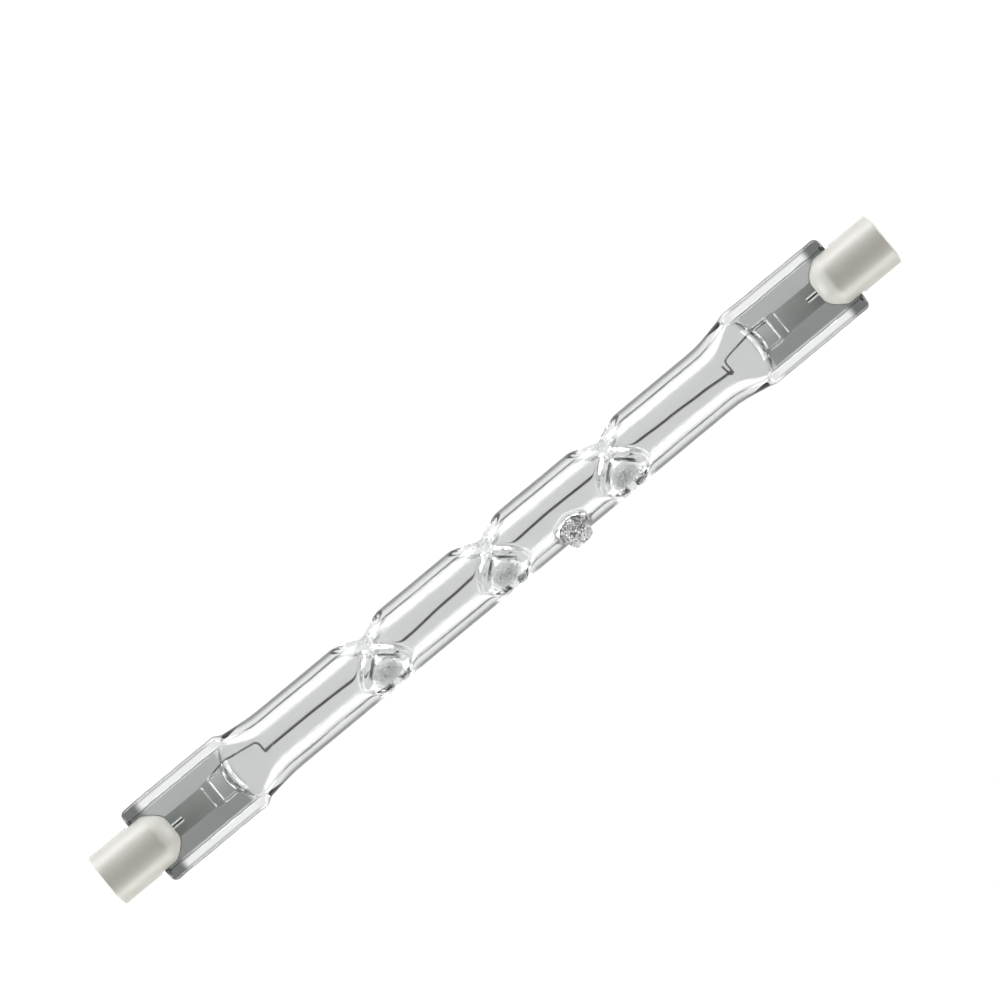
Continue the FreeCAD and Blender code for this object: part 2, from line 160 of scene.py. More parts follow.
stageSettings = {
    "floorLevel": -4.2, "floorSize": 6000, "floorColour": "#f7f7f6", "whiteShare": 0.78, "whiteLevel": 1.2,
    "worldColour": "#f6eedb", "worldStrength": 0.155, "worldSeen": 0.5,
    # name: place, size along the floor and upward (mm), power (W), colour, lights matt surfaces too
    "boxes": {
        "softboxAbove": ((0, 260, 46), (340, 96), 0.5, "#f2f6ff", True),
        "softboxBelow": ((0, -260, 40), (340, 84), 0.31, "#fafcff", True),
        "softboxRight": ((300, 0, 50), (170, 100), 0.42, "#e9f1ff", True),
        "softboxLeft": ((-300, 0, 50), (170, 100), 0.6, "#e9f1ff", True),
        "glintAbove": ((0, 270, 58), (460, 124), 1.0, "#ffffff", False),
        "glintBelow": ((0, -270, 58), (460, 124), 1.0, "#ffffff", False),
        "glintRight": ((310, 0, 72), (320, 134), 1.05, "#ffffff", False),
        "glintLeft": ((-310, 0, 72), (320, 134), 1.05, "#ffffff", False),
    },
}


def seenRays(tree):
    # 1 for the rays that the eye follows: straight, in gloss and through glass
    paths = addNode(tree, "ShaderNodeLightPath").outputs
    seen = paths["Is Camera Ray"]
    for ray in ("Is Glossy Ray", "Is Transmission Ray"):
        seen = addNode(tree, "ShaderNodeMath", {0: seen, 1: paths[ray]}, operation="MAXIMUM").outputs[0]
    return seen


def makeFloor(s):
    bpy.ops.object.select_all(action="DESELECT")
    bpy.ops.mesh.primitive_plane_add(size=s["floorSize"] * mm, location=(0, 0, s["floorLevel"] * mm))
    floor = bpy.context.active_object
    floor.name = "floor"
    bpy.ops.object.transform_apply(location=True, rotation=True, scale=True)
    # white paper sweep: bright to the eye, and keeps the shadow
    material, tree, output, _ = newMaterial("paperSweep")
    share = addNode(tree, "ShaderNodeMath", {0: seenRays(tree), 1: s["whiteShare"]}, operation="MULTIPLY")
    paper = addNode(tree, "ShaderNodeBsdfDiffuse", {"Color": linearColour(s["floorColour"])})
    glow = addNode(tree, "ShaderNodeEmission", {"Color": (1, 1, 1, 1), "Strength": s["whiteLevel"]})
    mix = addNode(tree, "ShaderNodeMixShader", {0: share.outputs[0], 1: paper.outputs[0], 2: glow.outputs[0]})
    tree.links.new(mix.outputs[0], output.inputs["Surface"])
    floor.data.materials.append(material)


def makeLights(s):
    for name, (place, size, power, colour, matt) in s["boxes"].items():
        data = bpy.data.lights.new(name, "AREA")
        data.shape = "RECTANGLE"
        data.size, data.size_y = size[0] * mm, size[1] * mm
        data.energy = power
        data.color = linearColour(colour)[:3]
        lamp = bpy.data.objects.new(name, data)
        bpy.context.collection.objects.link(lamp)
        lamp.visible_diffuse = matt
        lamp.location = Vector(place) * mm
        lamp.rotation_euler = (-Vector(place)).to_track_quat("-Z", "Y").to_euler()
    world = bpy.data.worlds.new("studio")
    world.use_nodes = True
    tree = world.node_tree
    back = tree.nodes["Background"]
    back.inputs["Color"].default_value = linearColour(s["worldColour"])
    # pale to the eye, but a weak light, so that the softboxes shape the ceramic
    level = addNode(tree, "ShaderNodeMapRange", {
        "Value": seenRays(tree), "To Min": s["worldStrength"], "To Max": s["worldSeen"]})
    tree.links.new(level.outputs[0], back.inputs["Strength"])
    bpy.context.scene.world = world
    bpy.context.scene.view_settings.view_transform = "Standard"
    print("stage set,", len(s["boxes"]), "lamps")


# quartz envelope: a tube of rings, each ring pressed to shape at its station

quartzSettings = {
    "sides": 160, "innerSides": 100, "radius": 4.195, "wall": 1.0, "smooth": 50,
    "wander": 0.05, "wanderGrain": (0.25, 0.9),  # unevenness of the drawn tube, along and around
    # rings: spacing on the plain tube, reach and spacing at dimples and tip, stretches near the ends
    "plainStep": 1.2, "dimpleRings": (4.8, 0.2), "innerDimpleRings": (5.2, 0.25), "tipRings": (3.0, 0.17),
    "endRings": [(33, 37.4, 0.3), (37.4, 41.8, 0.12), (41.8, 43.5, 0.055), (43.5, 51.7, 0.45),
                 (51.7, 52.8, 0.06)],
    "innerEndRings": [(33, 40, 0.14)],
    # necks and the hollow's ends
    "neckStart": 33.0, "neckEnd": 39.2, "neckRun": 0.6, "neckHeight": 3.9,
    "spread": {"right": 10.2, "left": 9.5},
    "cavityEnd": 40.0, "cavityArch": 1.5, "cavityShut": 0.9, "cavitySlit": 0.08,
    # shoulder: where the neck runs out on the web; steps are shares of its length and of its fall
    "shoulderEnd": 40.6, "shoulderWidth": 7.0, "shoulderHeight": 1.84, "shoulderSoft": 0.15,
    "shoulderBow": 0.9, "bowAcross": 3.5, "bowLimit": 4.0, "shoulderReach": 1.6,
    "shoulderSteps": [(-1, -0.35), (0, 0), (0.22, 0.27), (0.78, 0.7), (1, 1), (2, 2.1)],
    # pinch
    "pinchStart": 38.0, "pinchEnd": 52.7, "pinchWidth": 10.4, "corner": 0.8, "endRound": 0.35,
    "pinchBlend": (-0.5, 0.7), "turnBlend": -0.8,
    "beadWidth": 1.45, "beadThickness": 3.4, "webThickness": 2.0, "beadRound": 0.56, "webFillet": 0.13,
    "beadWave": 0.11, "waveStep": 0.9, "waveRun": 0.5, "waveCrown": (1.1, 1.5),
    "padWidth": 3.1, "padRise": 0.36, "padEnd": 42.1, "padEdge": 0.2, "padFine": 0.25, "padLimit": 0.3,
    "stepEnd": 43.3, "stepRise": 0.18, "endEdge": 0.13,
    # dimples, pressed by rollers with a worn crown
    "dimplePlaces": (-17.9, 0.0, 17.9), "dimpleTurns": (0, 120, 240), "dimpleReach": 8.0,
    "dimpleFloor": 1.8, "dimpleFlat": 1.2, "dimpleSlope": 44, "dimpleSoft": 0.45,
    "rollerRadius": 4.1, "rollerWear": 1.4,
    # exhaust tip; a grain is the noise's pace per mm along and per degree around, its seed and its share
    "tipPlace": 9.4, "tipTurn": 135, "tipRadius": 1.75, "tipReach": 6.3, "tipOval": 1.12, "tipDome": 0.12,
    "tipFlank": (-0.35, 0.3), "tipCollar": 0.35, "collarRun": 0.9, "tipSearch": (1.2, 4), "boxLimit": 5.14,
    "raggedGrain": (1.1, 0.06, 3.0, 0.22), "tipKnobs": 0.28,
    "knobGrains": [(1.5, 0.11, 7.0, 1.0), (3.1, 0.23, 1.0, 0.6)],
}


def ringStations(end, zones, plainStep):
    # places of the rings from one end to the other, closer together inside the zones (from, to, step)
    places, x = [-end], -end
    while x < end - 1e-6:
        step = min([z[2] for z in zones if z[0] <= x + 1e-6 < z[1]] + [plainStep])
        ahead = [edge for z in zones for edge in z[:2] if edge > x + 1e-6]
        x = min([x + step, end] + ahead)
        places.append(x)
    if places[-1] - places[-2] < 0.02:
        places.pop(-2)
    return places


def ringZones(s, dimpleRings, endRings):
    reach, spacing = dimpleRings
    zones = [(p - reach, p + reach, spacing) for p in s["dimplePlaces"]]
    for low, high, step in endRings:
        zones += [(low, high, step), (-high, -low, step)]
    return zones


def dimpleDepth(s, radius, grow, x, turn):
    # distance of the wall from the axis in direction turn, after the rollers have pressed it
    out = radius
    for place in s["dimplePlaces"]:
        off = abs(x - place)
        if off > s["dimpleReach"]:
            continue
        flat = s["dimpleFlat"] / 2 + grow * math.tan(math.radians(s["dimpleSlope"] / 2))
        worn = s["rollerWear"] * flat
        run = math.hypot(off, worn) - worn
        rim = s["rollerRadius"] + grow - run * math.tan(math.radians(s["dimpleSlope"]))
        axis = s["dimpleFloor"] + s["rollerRadius"]
        for pressed in s["dimpleTurns"]:
            swing = math.radians((turn - pressed + 180) % 360 - 180)
            if abs(swing) > math.pi / 2 or rim <= 0:
                continue
            inside = rim ** 2 - (axis * math.sin(swing)) ** 2
            if inside <= 0:
                continue
            hit = axis * math.cos(swing) - math.sqrt(inside)
            out = softMin(out, hit, s["dimpleSoft"])
    return out


def tipHeight(s, x, turn, radius):
    # knobbly closed stub of the exhaust tube, as a swelling of the wall
    swing = math.radians((turn - s["tipTurn"] + 180) % 360 - 180)
    if abs(swing) > s["tipSearch"][0] or abs(x - s["tipPlace"]) > s["tipSearch"][1]:
        return radius

    def unevenness(along, around, seed, share):
        return share * noise.noise(Vector((x * along, turn * around, seed)))

    across = math.hypot(x - s["tipPlace"], radius * s["tipOval"] * math.sin(swing))
    ragged = s["tipRadius"] + unevenness(*s["raggedGrain"])
    stub = 1 - smoothStep(ragged + s["tipFlank"][0], ragged + s["tipFlank"][1], across)
    knobs = sum(unevenness(*grain) for grain in s["knobGrains"])
    crown = s["tipReach"] - s["tipDome"] * across ** 2 + s["tipKnobs"] * knobs * stub
    collar = s["tipCollar"] * (1 - smoothStep(ragged, ragged + s["collarRun"], across))
    return radius + collar + (crown - radius - collar) * stub


def neckSection(s, side, x):
    # half width and half height of the flared neck at distance x from the middle
    t = smoothStep(s["neckStart"], s["neckEnd"] + s["neckRun"], x)
    spread = s["spread"][side] / 2
    return s["radius"] + (spread - s["radius"]) * t, s["radius"] + (s["neckHeight"] / 2 - s["radius"]) * t


def pinchOutline(s, quarter):
    # one quarter of the pressed section, from the side of the bead to the middle of the web
    half, edge = s["pinchWidth"] / 2, s["pinchWidth"] / 2 - s["beadWidth"]
    top, web = s["beadThickness"] / 2, s["webThickness"] / 2
    r, f = s["beadRound"], s["webFillet"]
    counts = {"side": 6, "round": 5, "crown": 3, "back": 5, "fillet": 5}
    points = [(half, (top - r) * i / counts["side"]) for i in range(counts["side"])]
    for i in range(counts["round"]):
        a = math.pi / 2 * i / counts["round"]
        points.append((half - r + r * math.cos(a), top - r + r * math.sin(a)))
    for i in range(counts["crown"]):
        points.append((half - r - (s["beadWidth"] - 2 * r) * i / counts["crown"], top))
    for i in range(counts["back"]):
        a = math.pi / 2 * i / counts["back"]
        points.append((edge + r - r * math.sin(a), top - r + r * math.cos(a)))
    points.append((edge, top - r))
    for i in range(counts["fillet"]):
        a = math.pi / 2 * i / counts["fillet"]
        points.append((edge - f + f * math.cos(a), web + f - f * math.sin(a)))
    # web: close together where the edge of the pad will rise
    padLow, padHigh = s["padWidth"] / 2 - s["padFine"], s["padWidth"] / 2 + s["padFine"]
    left = quarter - len(points)
    outer, middle = left // 4, left // 2
    inner = left - outer - middle
    for start, stop, count in ((edge - f, padHigh, outer), (padHigh, padLow, middle), (padLow, 0, inner)):
        points += [(start + (stop - start) * i / count, web) for i in range(count)]
    return points + [(0, web)]


def matchedTurns(outline):
    # angle of each point of the first quarter at which the round neck flows into the pressed section
    lengths = [0]
    for (y0, z0), (y1, z1) in zip(outline, outline[1:]):
        lengths.append(lengths[-1] + math.hypot(y1 - y0, 0.5 * (z1 - z0)))
    return [90 * length / lengths[-1] for length in lengths]


def roundedOff(radius, left):
    # how far a rounded corner has drawn back, left before its end
    return radius - math.sqrt(max(radius ** 2 - (radius - left) ** 2, 0)) if left < radius else 0


def pinchPoint(s, outline, side, x, index):
    # a point of the pressed end: section, rounded end corners, shoulder of the neck, pad and step
    quarter = s["sides"] // 4
    part, step = divmod(index, quarter)
    y, z = outline[step] if part % 2 == 0 else outline[quarter - step]
    ySign = 1 if part in (0, 3) else -1
    zSign = 1 if part in (0, 1) else -1
    half = s["pinchWidth"] / 2
    # the beads squeezed out between the jaws wander a little, each one by a noise of its own
    bead = half - s["beadWidth"]
    onBead = smoothStep(bead - s["waveRun"], bead, y)
    spot = Vector((x * s["waveStep"] + (40 if side == "right" else 0), 5.3 * ySign, 5.3 * zSign))
    y -= s["beadWave"] * (0.5 + 0.5 * noise.noise(spot)) * onBead
    z -= s["beadWave"] * (0.5 + 0.5 * noise.noise(spot * 1.3)) * onBead * smoothStep(*s["waveCrown"], z)
    y *= (half - roundedOff(s["corner"], s["pinchEnd"] - x)) / half
    z -= roundedOff(s["endRound"], s["pinchEnd"] - x)
    # the neck runs out on the web in a shallow arc
    bow = s["shoulderBow"] * (min(y, s["bowLimit"]) / s["bowAcross"]) ** 2
    out = (x + bow - s["neckEnd"]) / (s["shoulderEnd"] - s["neckEnd"])
    if out < s["shoulderReach"]:
        spread, high = s["spread"][side], s["neckHeight"]
        wide = spread / 2 + (s["shoulderWidth"] - spread) / 2 * out
        fall = throughPoints(s["shoulderSteps"], out, freeRamp)
        high = high / 2 + (s["shoulderHeight"] - high) / 2 * fall
        if wide > y and high > 0:
            z = softMax(z, high * math.sqrt(1 - (y / wide) ** 2), s["shoulderSoft"])
    # raised pad and step in the middle of the web
    inPad = ramp(-s["padEdge"], s["padEdge"], s["padWidth"] / 2 - y)
    edge = s["endEdge"]
    pad = (s["padRise"] - s["stepRise"]) * inPad * ramp(-edge, edge, s["padEnd"] - x)
    shelf = s["stepRise"] * inPad * ramp(-edge, edge, s["stepEnd"] - x)
    if z < s["webThickness"] / 2 + s["padLimit"]:
        z += pad + shelf
    return y * ySign, z * zSign


def ringTube(name, places, sides, pointAt):
    # a flat grid with a row for each ring is rolled into a tube: every point goes to its station and turn
    bpy.ops.object.select_all(action="DESELECT")
    bpy.ops.mesh.primitive_grid_add(x_subdivisions=len(places) - 1, y_subdivisions=sides, size=1)
    obj = bpy.context.active_object
    obj.name = name
    for v in obj.data.vertices:
        x = places[round((v.co.x + 0.5) * (len(places) - 1))]
        y, z = pointAt(x, round((v.co.y + 0.5) * sides) % sides)
        v.co = Vector((x, y, z)) * mm
    startEdit(obj)
    bpy.ops.mesh.remove_doubles(threshold=0.0005 * mm)  # shuts the seam
    # the two open ends are filled
    bpy.ops.mesh.select_mode(type="EDGE")
    for end in (places[0], places[-1]):
        bpy.ops.mesh.select_all(action="DESELECT")
        editDone()
        for edge in obj.data.edges:
            edge.select = all(abs(obj.data.vertices[i].co.x - end * mm) < 1e-7 for i in edge.vertices)
        bpy.ops.object.mode_set(mode="EDIT")
        bpy.ops.mesh.edge_face_add()
    editDone()
    return obj


def makeQuartz(s, material):
    quarter = s["sides"] // 4
    outline = pinchOutline(s, quarter)
    turns = matchedTurns(outline)
    tipReach, tipStep = s["tipRings"]
    zones = ringZones(s, s["dimpleRings"], s["endRings"])
    zones.append((s["tipPlace"] - tipReach, s["tipPlace"] + tipReach, tipStep))
    places = ringStations(s["pinchEnd"], zones, s["plainStep"])
    blendStart, blendEnd = (s["pinchStart"] + shift for shift in s["pinchBlend"])
    along, around = s["wanderGrain"]

    def outside(x, index):
        turn = 360 * index / s["sides"]
        side = "right" if x > 0 else "left"
        far = abs(x)
        c, n = math.cos(math.radians(turn)), math.sin(math.radians(turn))
        if far < s["neckStart"]:
            r = dimpleDepth(s, s["radius"], 0, x, turn)
            r = min(tipHeight(s, x, turn, r), s["boxLimit"] / max(abs(c), abs(n)))
            r -= s["wander"] * (0.5 + 0.5 * noise.noise(Vector((x * along, c * around, n * around))))
            return r * c, r * n
        part, step = divmod(index, quarter)
        matched = 90 * part + (turns[step] if part % 2 == 0 else 90 - turns[quarter - step])
        turn += (matched - turn) * smoothStep(s["neckStart"], s["pinchStart"] + s["turnBlend"], far)
        c, n = math.cos(math.radians(turn)), math.sin(math.radians(turn))
        wide, high = neckSection(s, side, far)
        oval = Vector((wide * c, high * n))
        if far < blendStart:
            return oval
        pressed = Vector(pinchPoint(s, outline, side, far, index))
        return oval.lerp(pressed, smoothStep(blendStart, blendEnd, far))

    shell = ringTube("quartzOutside", places, s["sides"], outside)
    closePiece(shell, s["smooth"])

    # hollow: the same rollers, one wall further in
    innerSides = s["innerSides"]
    bore = s["radius"] - s["wall"]
    end = s["cavityEnd"]
    innerPlaces = ringStations(end, ringZones(s, s["innerDimpleRings"], s["innerEndRings"]), s["plainStep"])

    def inside(x, index):
        turn = 360 * index / innerSides
        c, n = math.cos(math.radians(turn)), math.sin(math.radians(turn))
        far = abs(x)
        if far < s["neckStart"]:
            r = dimpleDepth(s, bore, s["wall"], x, turn)
            r += s["wander"] * noise.noise(Vector((x * along, c * around, n * around + 5)))
            return r * c, r * n
        wide, high = neckSection(s, "right" if x > 0 else "left", far)
        wide, high = wide - s["wall"], high - s["wall"]
        # the hollow keeps its wall as it flattens, and ends in a shallow arc where the jaws met
        arch = math.sqrt(max(1 - ramp(end - s["cavityArch"], end, far) ** 2, 0.01))
        shut = math.sqrt(max(1 - ramp(end - s["cavityShut"], end, far) ** 2, 0))
        return wide * arch * c, max(high * shut, s["cavitySlit"]) * n

    hollow = ringTube("quartzInside", innerPlaces, innerSides, inside)
    closePiece(hollow, s["smooth"])
    startEdit(hollow)
    bpy.ops.mesh.flip_normals()
    editDone()

    selectOnly(shell)
    hollow.select_set(True)
    bpy.ops.object.join()
    dress(shell, "quartzEnvelope", material, "quartz_envelope")
    print("quartz envelope:", len(places), "rings outside,", len(innerPlaces), "inside")


# fused quartz: clear drawn tube; its faint grey, its darkening at a slant and the greyer seals are painted
# shade

quartzLook = {
    # tints by place, each laid over the ones before it: coordinate, where it begins and is full (mm), colour
    # painted shade: the grey ground of the seals and the necks stands in for shade seen through the glass
    "ground": "#868988",
    "layers": [
        ("across", -2.5, 2.5, "#a9acab"),  # painted shade: the seal is paler toward +Y, as if lit more from that side
        ("off", 3.5, 3.7, "#eceded"),  # clear beads
        ("off", 4.5, 4.85, "#868989"),  # painted shade: a dark line along their outer edge
        ("far", 49.9, 51.0, "#6c6f6e"),  # darker where the seals run into the caps
        ("far", 40.0, 38.8, "#e2e3e3"),  # the tube between the seals, tinted faint grey as painted shade
    ],
    # slantFrom, slantTo and the dark colour after them: painted shade laid over the glass where it is seen at
    # a slant
    "slantFrom": 0.38, "slantTo": 0.66, "slantShade": "#2c2e2e", "shadow": 0.93, "ior": 1.46,
    "thinFrom": 3.4, "thinTo": 1.8, "thinShare": 0.8,
    # melted spots: core is the share that is full; those of the dimples are placed from each dimple. The grey
    # colours of the dimples are painted shade, darker at the lower ones.
    "tip": {"place": (9.4, -3.6, 3.6), "radius": 2.1, "stretchX": 1.0, "core": 0.75,
            "colour": "#ffffff", "milky": 0.14, "specks": 1.0},
    "lowerDimpleMeltAndShade": {"place": (0, -2.2, 1.2), "radius": 1.7, "stretchX": 1.9, "core": 0.1,
                    "colour": "#a2a6a5", "milky": 0.1, "specks": 0.5},
    "upperDimpleMeltAndShade": {"place": (0, 2.4, 3.2), "radius": 1.4, "stretchX": 1.0, "core": 0.3,
                    "colour": "#c4c7c7", "milky": 0.1, "specks": 0.35},
    "meltedGrain": 0.42, "meltedDepth": 0.5, "speckGap": 0.5, "speckSize": 0.14, "speck": "#2c2e2e",
}


def fusedQuartz(s, dimplePlaces):
    material, tree, output, place = newMaterial("fusedQuartz")
    axes = addNode(tree, "ShaderNodeSeparateXYZ", {0: place}).outputs
    coordinate = {"across": axes["Y"]}
    for name, axis in (("far", "X"), ("off", "Y")):
        coordinate[name] = addNode(tree, "ShaderNodeMath", {0: axes[axis]}, operation="ABSOLUTE").outputs[0]
    tint = linearColour(s["ground"])
    for name, begin, full, colour in s["layers"]:
        share = addNode(tree, "ShaderNodeMapRange", {
            "Value": coordinate[name], "From Min": begin * mm, "From Max": full * mm},
            interpolation_type="SMOOTHSTEP").outputs[0]
        tint = addNode(tree, "ShaderNodeMix", {"Factor": share, "A": tint, "B": linearColour(colour)},
                       data_type="RGBA").outputs["Result"]
    # small knobs where the quartz was melted
    grain = addNode(tree, "ShaderNodeTexNoise", {
        "Vector": place, "Scale": 1 / (s["meltedGrain"] * mm), "Detail": 2.0}).outputs["Fac"]
    # dark specks: closed bubbles and bits of soot
    cells = addNode(tree, "ShaderNodeTexVoronoi", {"Vector": place, "Scale": 1 / (s["speckGap"] * mm)})
    speck = s["speckSize"] / s["speckGap"]
    bubbles = addNode(tree, "ShaderNodeMapRange", {
        "Value": cells.outputs["Distance"], "From Min": 1.3 * speck, "From Max": 0.8 * speck}).outputs[0]
    melted = [(0, s["tip"])]
    melted += [(shift, s[name]) for name in ("lowerDimpleMeltAndShade", "upperDimpleMeltAndShade") for shift in dimplePlaces]
    height, milk, spots = 0.0, 0.0, []
    for shift, look in melted:
        x, y, z = look["place"]
        stretch, radius = look["stretchX"], look["radius"]
        centre = ((x + shift) / stretch * mm, y * mm, z * mm)
        drawn = addNode(tree, "ShaderNodeVectorMath", {
            0: place, 1: (1 / stretch, 1, 1)}, operation="MULTIPLY")
        gap = addNode(tree, "ShaderNodeVectorMath", {0: drawn.outputs[0], 1: centre}, operation="DISTANCE")
        spot = addNode(tree, "ShaderNodeMapRange", {
            "Value": gap.outputs["Value"], "From Min": radius * mm,
            "From Max": look["core"] * radius * mm}).outputs[0]
        knob = addNode(tree, "ShaderNodeMath", {0: spot, 1: grain}, operation="MULTIPLY").outputs[0]
        height = addNode(tree, "ShaderNodeMath", {0: height, 1: knob}, operation="MAXIMUM").outputs[0]
        dots = addNode(tree, "ShaderNodeMath", {0: spot, 1: look["specks"]}, operation="MULTIPLY").outputs[0]
        dots = addNode(tree, "ShaderNodeMath", {0: dots, 1: bubbles}, operation="MULTIPLY").outputs[0]
        # each spot's colour: white at the tip, painted shade at the dimples; then the dark specks
        for share, over in ((spot, look["colour"]), (dots, s["speck"])):
            tint = addNode(tree, "ShaderNodeMix", {"Factor": share, "A": tint, "B": linearColour(over)},
                           data_type="RGBA").outputs["Result"]
        haze = addNode(tree, "ShaderNodeMath", {0: spot, 1: look["milky"], 2: dots}, operation="MULTIPLY_ADD")
        milk = addNode(tree, "ShaderNodeMath", {0: milk, 1: haze.outputs[0]}, operation="MAXIMUM").outputs[0]
        spots.append(spot)
    clearness = addNode(tree, "ShaderNodeMath", {0: 1.0, 1: milk}, operation="SUBTRACT", use_clamp=True)
    bump = addNode(tree, "ShaderNodeBump", {
        "Height": height, "Strength": 1.0, "Distance": s["meltedDepth"] * mm}).outputs[0]
    # painted shade: the glass is darkened at a slant, standing in for the dark rim its edges show, also on
    # the flanks of the small knobs
    facing = addNode(tree, "ShaderNodeLayerWeight", {"Normal": bump}).outputs["Facing"]
    slantShade = addNode(tree, "ShaderNodeMapRange", {
        "Value": facing, "From Min": s["slantFrom"], "From Max": s["slantTo"]},
        interpolation_type="SMOOTHSTEP").outputs[0]
    # the painted slant shade is weaker at the tip and the dimples, where the wall was drawn thin
    even = spots[0]
    for x in dimplePlaces:
        off = addNode(tree, "ShaderNodeMath", {0: axes["X"], 1: x * mm}, operation="SUBTRACT").outputs[0]
        off = addNode(tree, "ShaderNodeMath", {0: off}, operation="ABSOLUTE").outputs[0]
        near = addNode(tree, "ShaderNodeMapRange", {
            "Value": off, "From Min": s["thinFrom"] * mm, "From Max": s["thinTo"] * mm},
            interpolation_type="SMOOTHSTEP").outputs[0]
        even = addNode(tree, "ShaderNodeMath", {0: even, 1: near}, operation="MAXIMUM").outputs[0]
    even = addNode(tree, "ShaderNodeMath", {0: even, 1: s["thinShare"]}, operation="MULTIPLY").outputs[0]
    slantShade = addNode(tree, "ShaderNodeMath", {0: slantShade, 1: even}, operation="SUBTRACT", use_clamp=True)
    tint = addNode(tree, "ShaderNodeMix", {
        "Factor": slantShade.outputs[0], "A": tint, "B": linearColour(s["slantShade"])},
        data_type="RGBA", blend_type="MULTIPLY").outputs["Result"]
    glass = addNode(tree, "ShaderNodeBsdfPrincipled", {
        "Base Color": tint, "Normal": bump, "Roughness": 0.0, "IOR": s["ior"],
        "Transmission Weight": clearness.outputs[0]})
    # light passes, so that the shadow of the glass stays faint
    clear = addNode(tree, "ShaderNodeBsdfTransparent", {"Color": (s["shadow"], s["shadow"], s["shadow"], 1)})
    shadow = addNode(tree, "ShaderNodeLightPath").outputs["Is Shadow Ray"]
    mix = addNode(tree, "ShaderNodeMixShader", {0: shadow, 1: glass.outputs[0], 2: clear.outputs[0]})
    tree.links.new(mix.outputs[0], output.inputs["Surface"])
    return material


# ceramic caps: turned from a ring, slotted for the pinch

capSettings = {
    "sides": 128, "radius": 3.5, "innerEnd": 48.8, "outerEnd": 58.8,
    "nosePlace": 50.8, "noseRadius": 3.45, "noseTip": 1.5, "noseCurve": 0.55, "noseSteps": 12,
    "swellSteps": 4, "rim": 0.28, "rimSteps": 6, "lip": 0.12,
    "recessRadius": 2.5, "recessFloor": 57.1, "seatRadius": 2.05, "seatDepth": 0.63, "seatInner": 0.6,
    "slotHalf": 1.13, "slotEnd": 53.3, "slotLead": 2.0, "slotWidth": 12.0, "edge": 0.09, "edgeAngle": 35,
    "turnedSmooth": 30, "smooth": 22,
}


def capProfile(s):
    # (place, radius) from the nose over the rim into the recess
    profile = []
    for i in range(s["noseSteps"] + 1):  # blunt face of the nose
        t = (i / s["noseSteps"]) ** 2
        profile.append((s["innerEnd"] + (s["nosePlace"] - s["innerEnd"]) * t,
                        s["noseTip"] + (s["noseRadius"] - s["noseTip"]) * t ** s["noseCurve"]))
    swell = math.sqrt(s["radius"] ** 2 - s["noseRadius"] ** 2)
    for i in range(1, s["swellSteps"] + 1):  # ball-shaped stretch up to the cylinder
        back = swell * (1 - i / s["swellSteps"])
        profile.append((s["nosePlace"] + swell - back, math.sqrt(s["radius"] ** 2 - back ** 2)))
    for i in range(1, s["rimSteps"] + 1):  # rounded rim
        a = math.pi / 2 * i / s["rimSteps"]
        profile.append((s["outerEnd"] - s["rim"] + s["rim"] * math.sin(a),
                        s["radius"] - s["rim"] + s["rim"] * math.cos(a)))
    seat = s["recessFloor"] - s["seatDepth"]  # the contact's head sinks in flush with the floor
    profile += [(s["outerEnd"], s["recessRadius"] + s["lip"]), (s["outerEnd"] - s["lip"], s["recessRadius"])]
    profile += [(s["recessFloor"], s["recessRadius"]), (s["recessFloor"], s["seatRadius"])]
    profile += [(seat, s["seatRadius"]), (seat, s["seatRadius"] * s["seatInner"])]
    return profile


def turnedPiece(name, profile, sides):
    # a ring is extruded from station to station and sized at each one
    bpy.ops.object.select_all(action="DESELECT")
    bpy.ops.mesh.primitive_circle_add(
        vertices=sides, radius=profile[0][1] * mm, fill_type="NGON",
        location=(profile[0][0] * mm, 0, 0), rotation=(0, math.pi / 2, 0))
    obj = bpy.context.active_object
    obj.name = name
    bpy.ops.object.transform_apply(location=True, rotation=True, scale=True)
    bpy.ops.object.mode_set(mode="EDIT")
    bpy.ops.mesh.select_mode(type="FACE")
    bpy.ops.mesh.select_all(action="SELECT")
    for (x0, r0), (x1, r1) in zip(profile, profile[1:]):
        bpy.ops.mesh.extrude_region_move(TRANSFORM_OT_translate={"value": ((x1 - x0) * mm, 0, 0)})
        bpy.ops.transform.resize(value=(1, r1 / r0, r1 / r0), center_override=(x1 * mm, 0, 0))
    editDone()
    return obj


def makeCaps(s, material):
    slotStart = s["innerEnd"] - s["slotLead"]
    for side in ("right", "left"):
        cap = turnedPiece("cap", capProfile(s), s["sides"])
        closePiece(cap, s["turnedSmooth"])
        bpy.ops.object.select_all(action="DESELECT")
        bpy.ops.mesh.primitive_cube_add(size=1, location=((slotStart + s["slotEnd"]) / 2 * mm, 0, 0))
        cutter = bpy.context.active_object
        cutter.scale = ((s["slotEnd"] - slotStart) * mm, s["slotWidth"] * mm, 2 * s["slotHalf"] * mm)
        bpy.ops.object.transform_apply(location=True, rotation=True, scale=True)
        selectOnly(cap)
        slot = cap.modifiers.new("slot", "BOOLEAN")
        slot.operation, slot.solver, slot.object = "DIFFERENCE", "EXACT", cutter
        bpy.ops.object.modifier_apply(modifier="slot")
        bpy.data.objects.remove(cutter)
        soft = cap.modifiers.new("soft edges", "BEVEL")
        soft.width, soft.segments = s["edge"] * mm, 2
        soft.limit_method, soft.angle_limit = "ANGLE", math.radians(s["edgeAngle"])
        bpy.ops.object.modifier_apply(modifier="soft edges")
        if side == "left":  # turned half round to the other end
            startEdit(cap)
            bpy.ops.transform.rotate(value=math.pi, orient_axis="Z", center_override=(0, 0, 0))
            editDone()
        closePiece(cap, s["smooth"])
        dress(cap, f"ceramicCap.{side}", material, f"ceramic_cap_{side}")
    print("caps slotted")


# filament: a fine coil on the axis, hanging a little between its dimples; coarser than a real one, to show

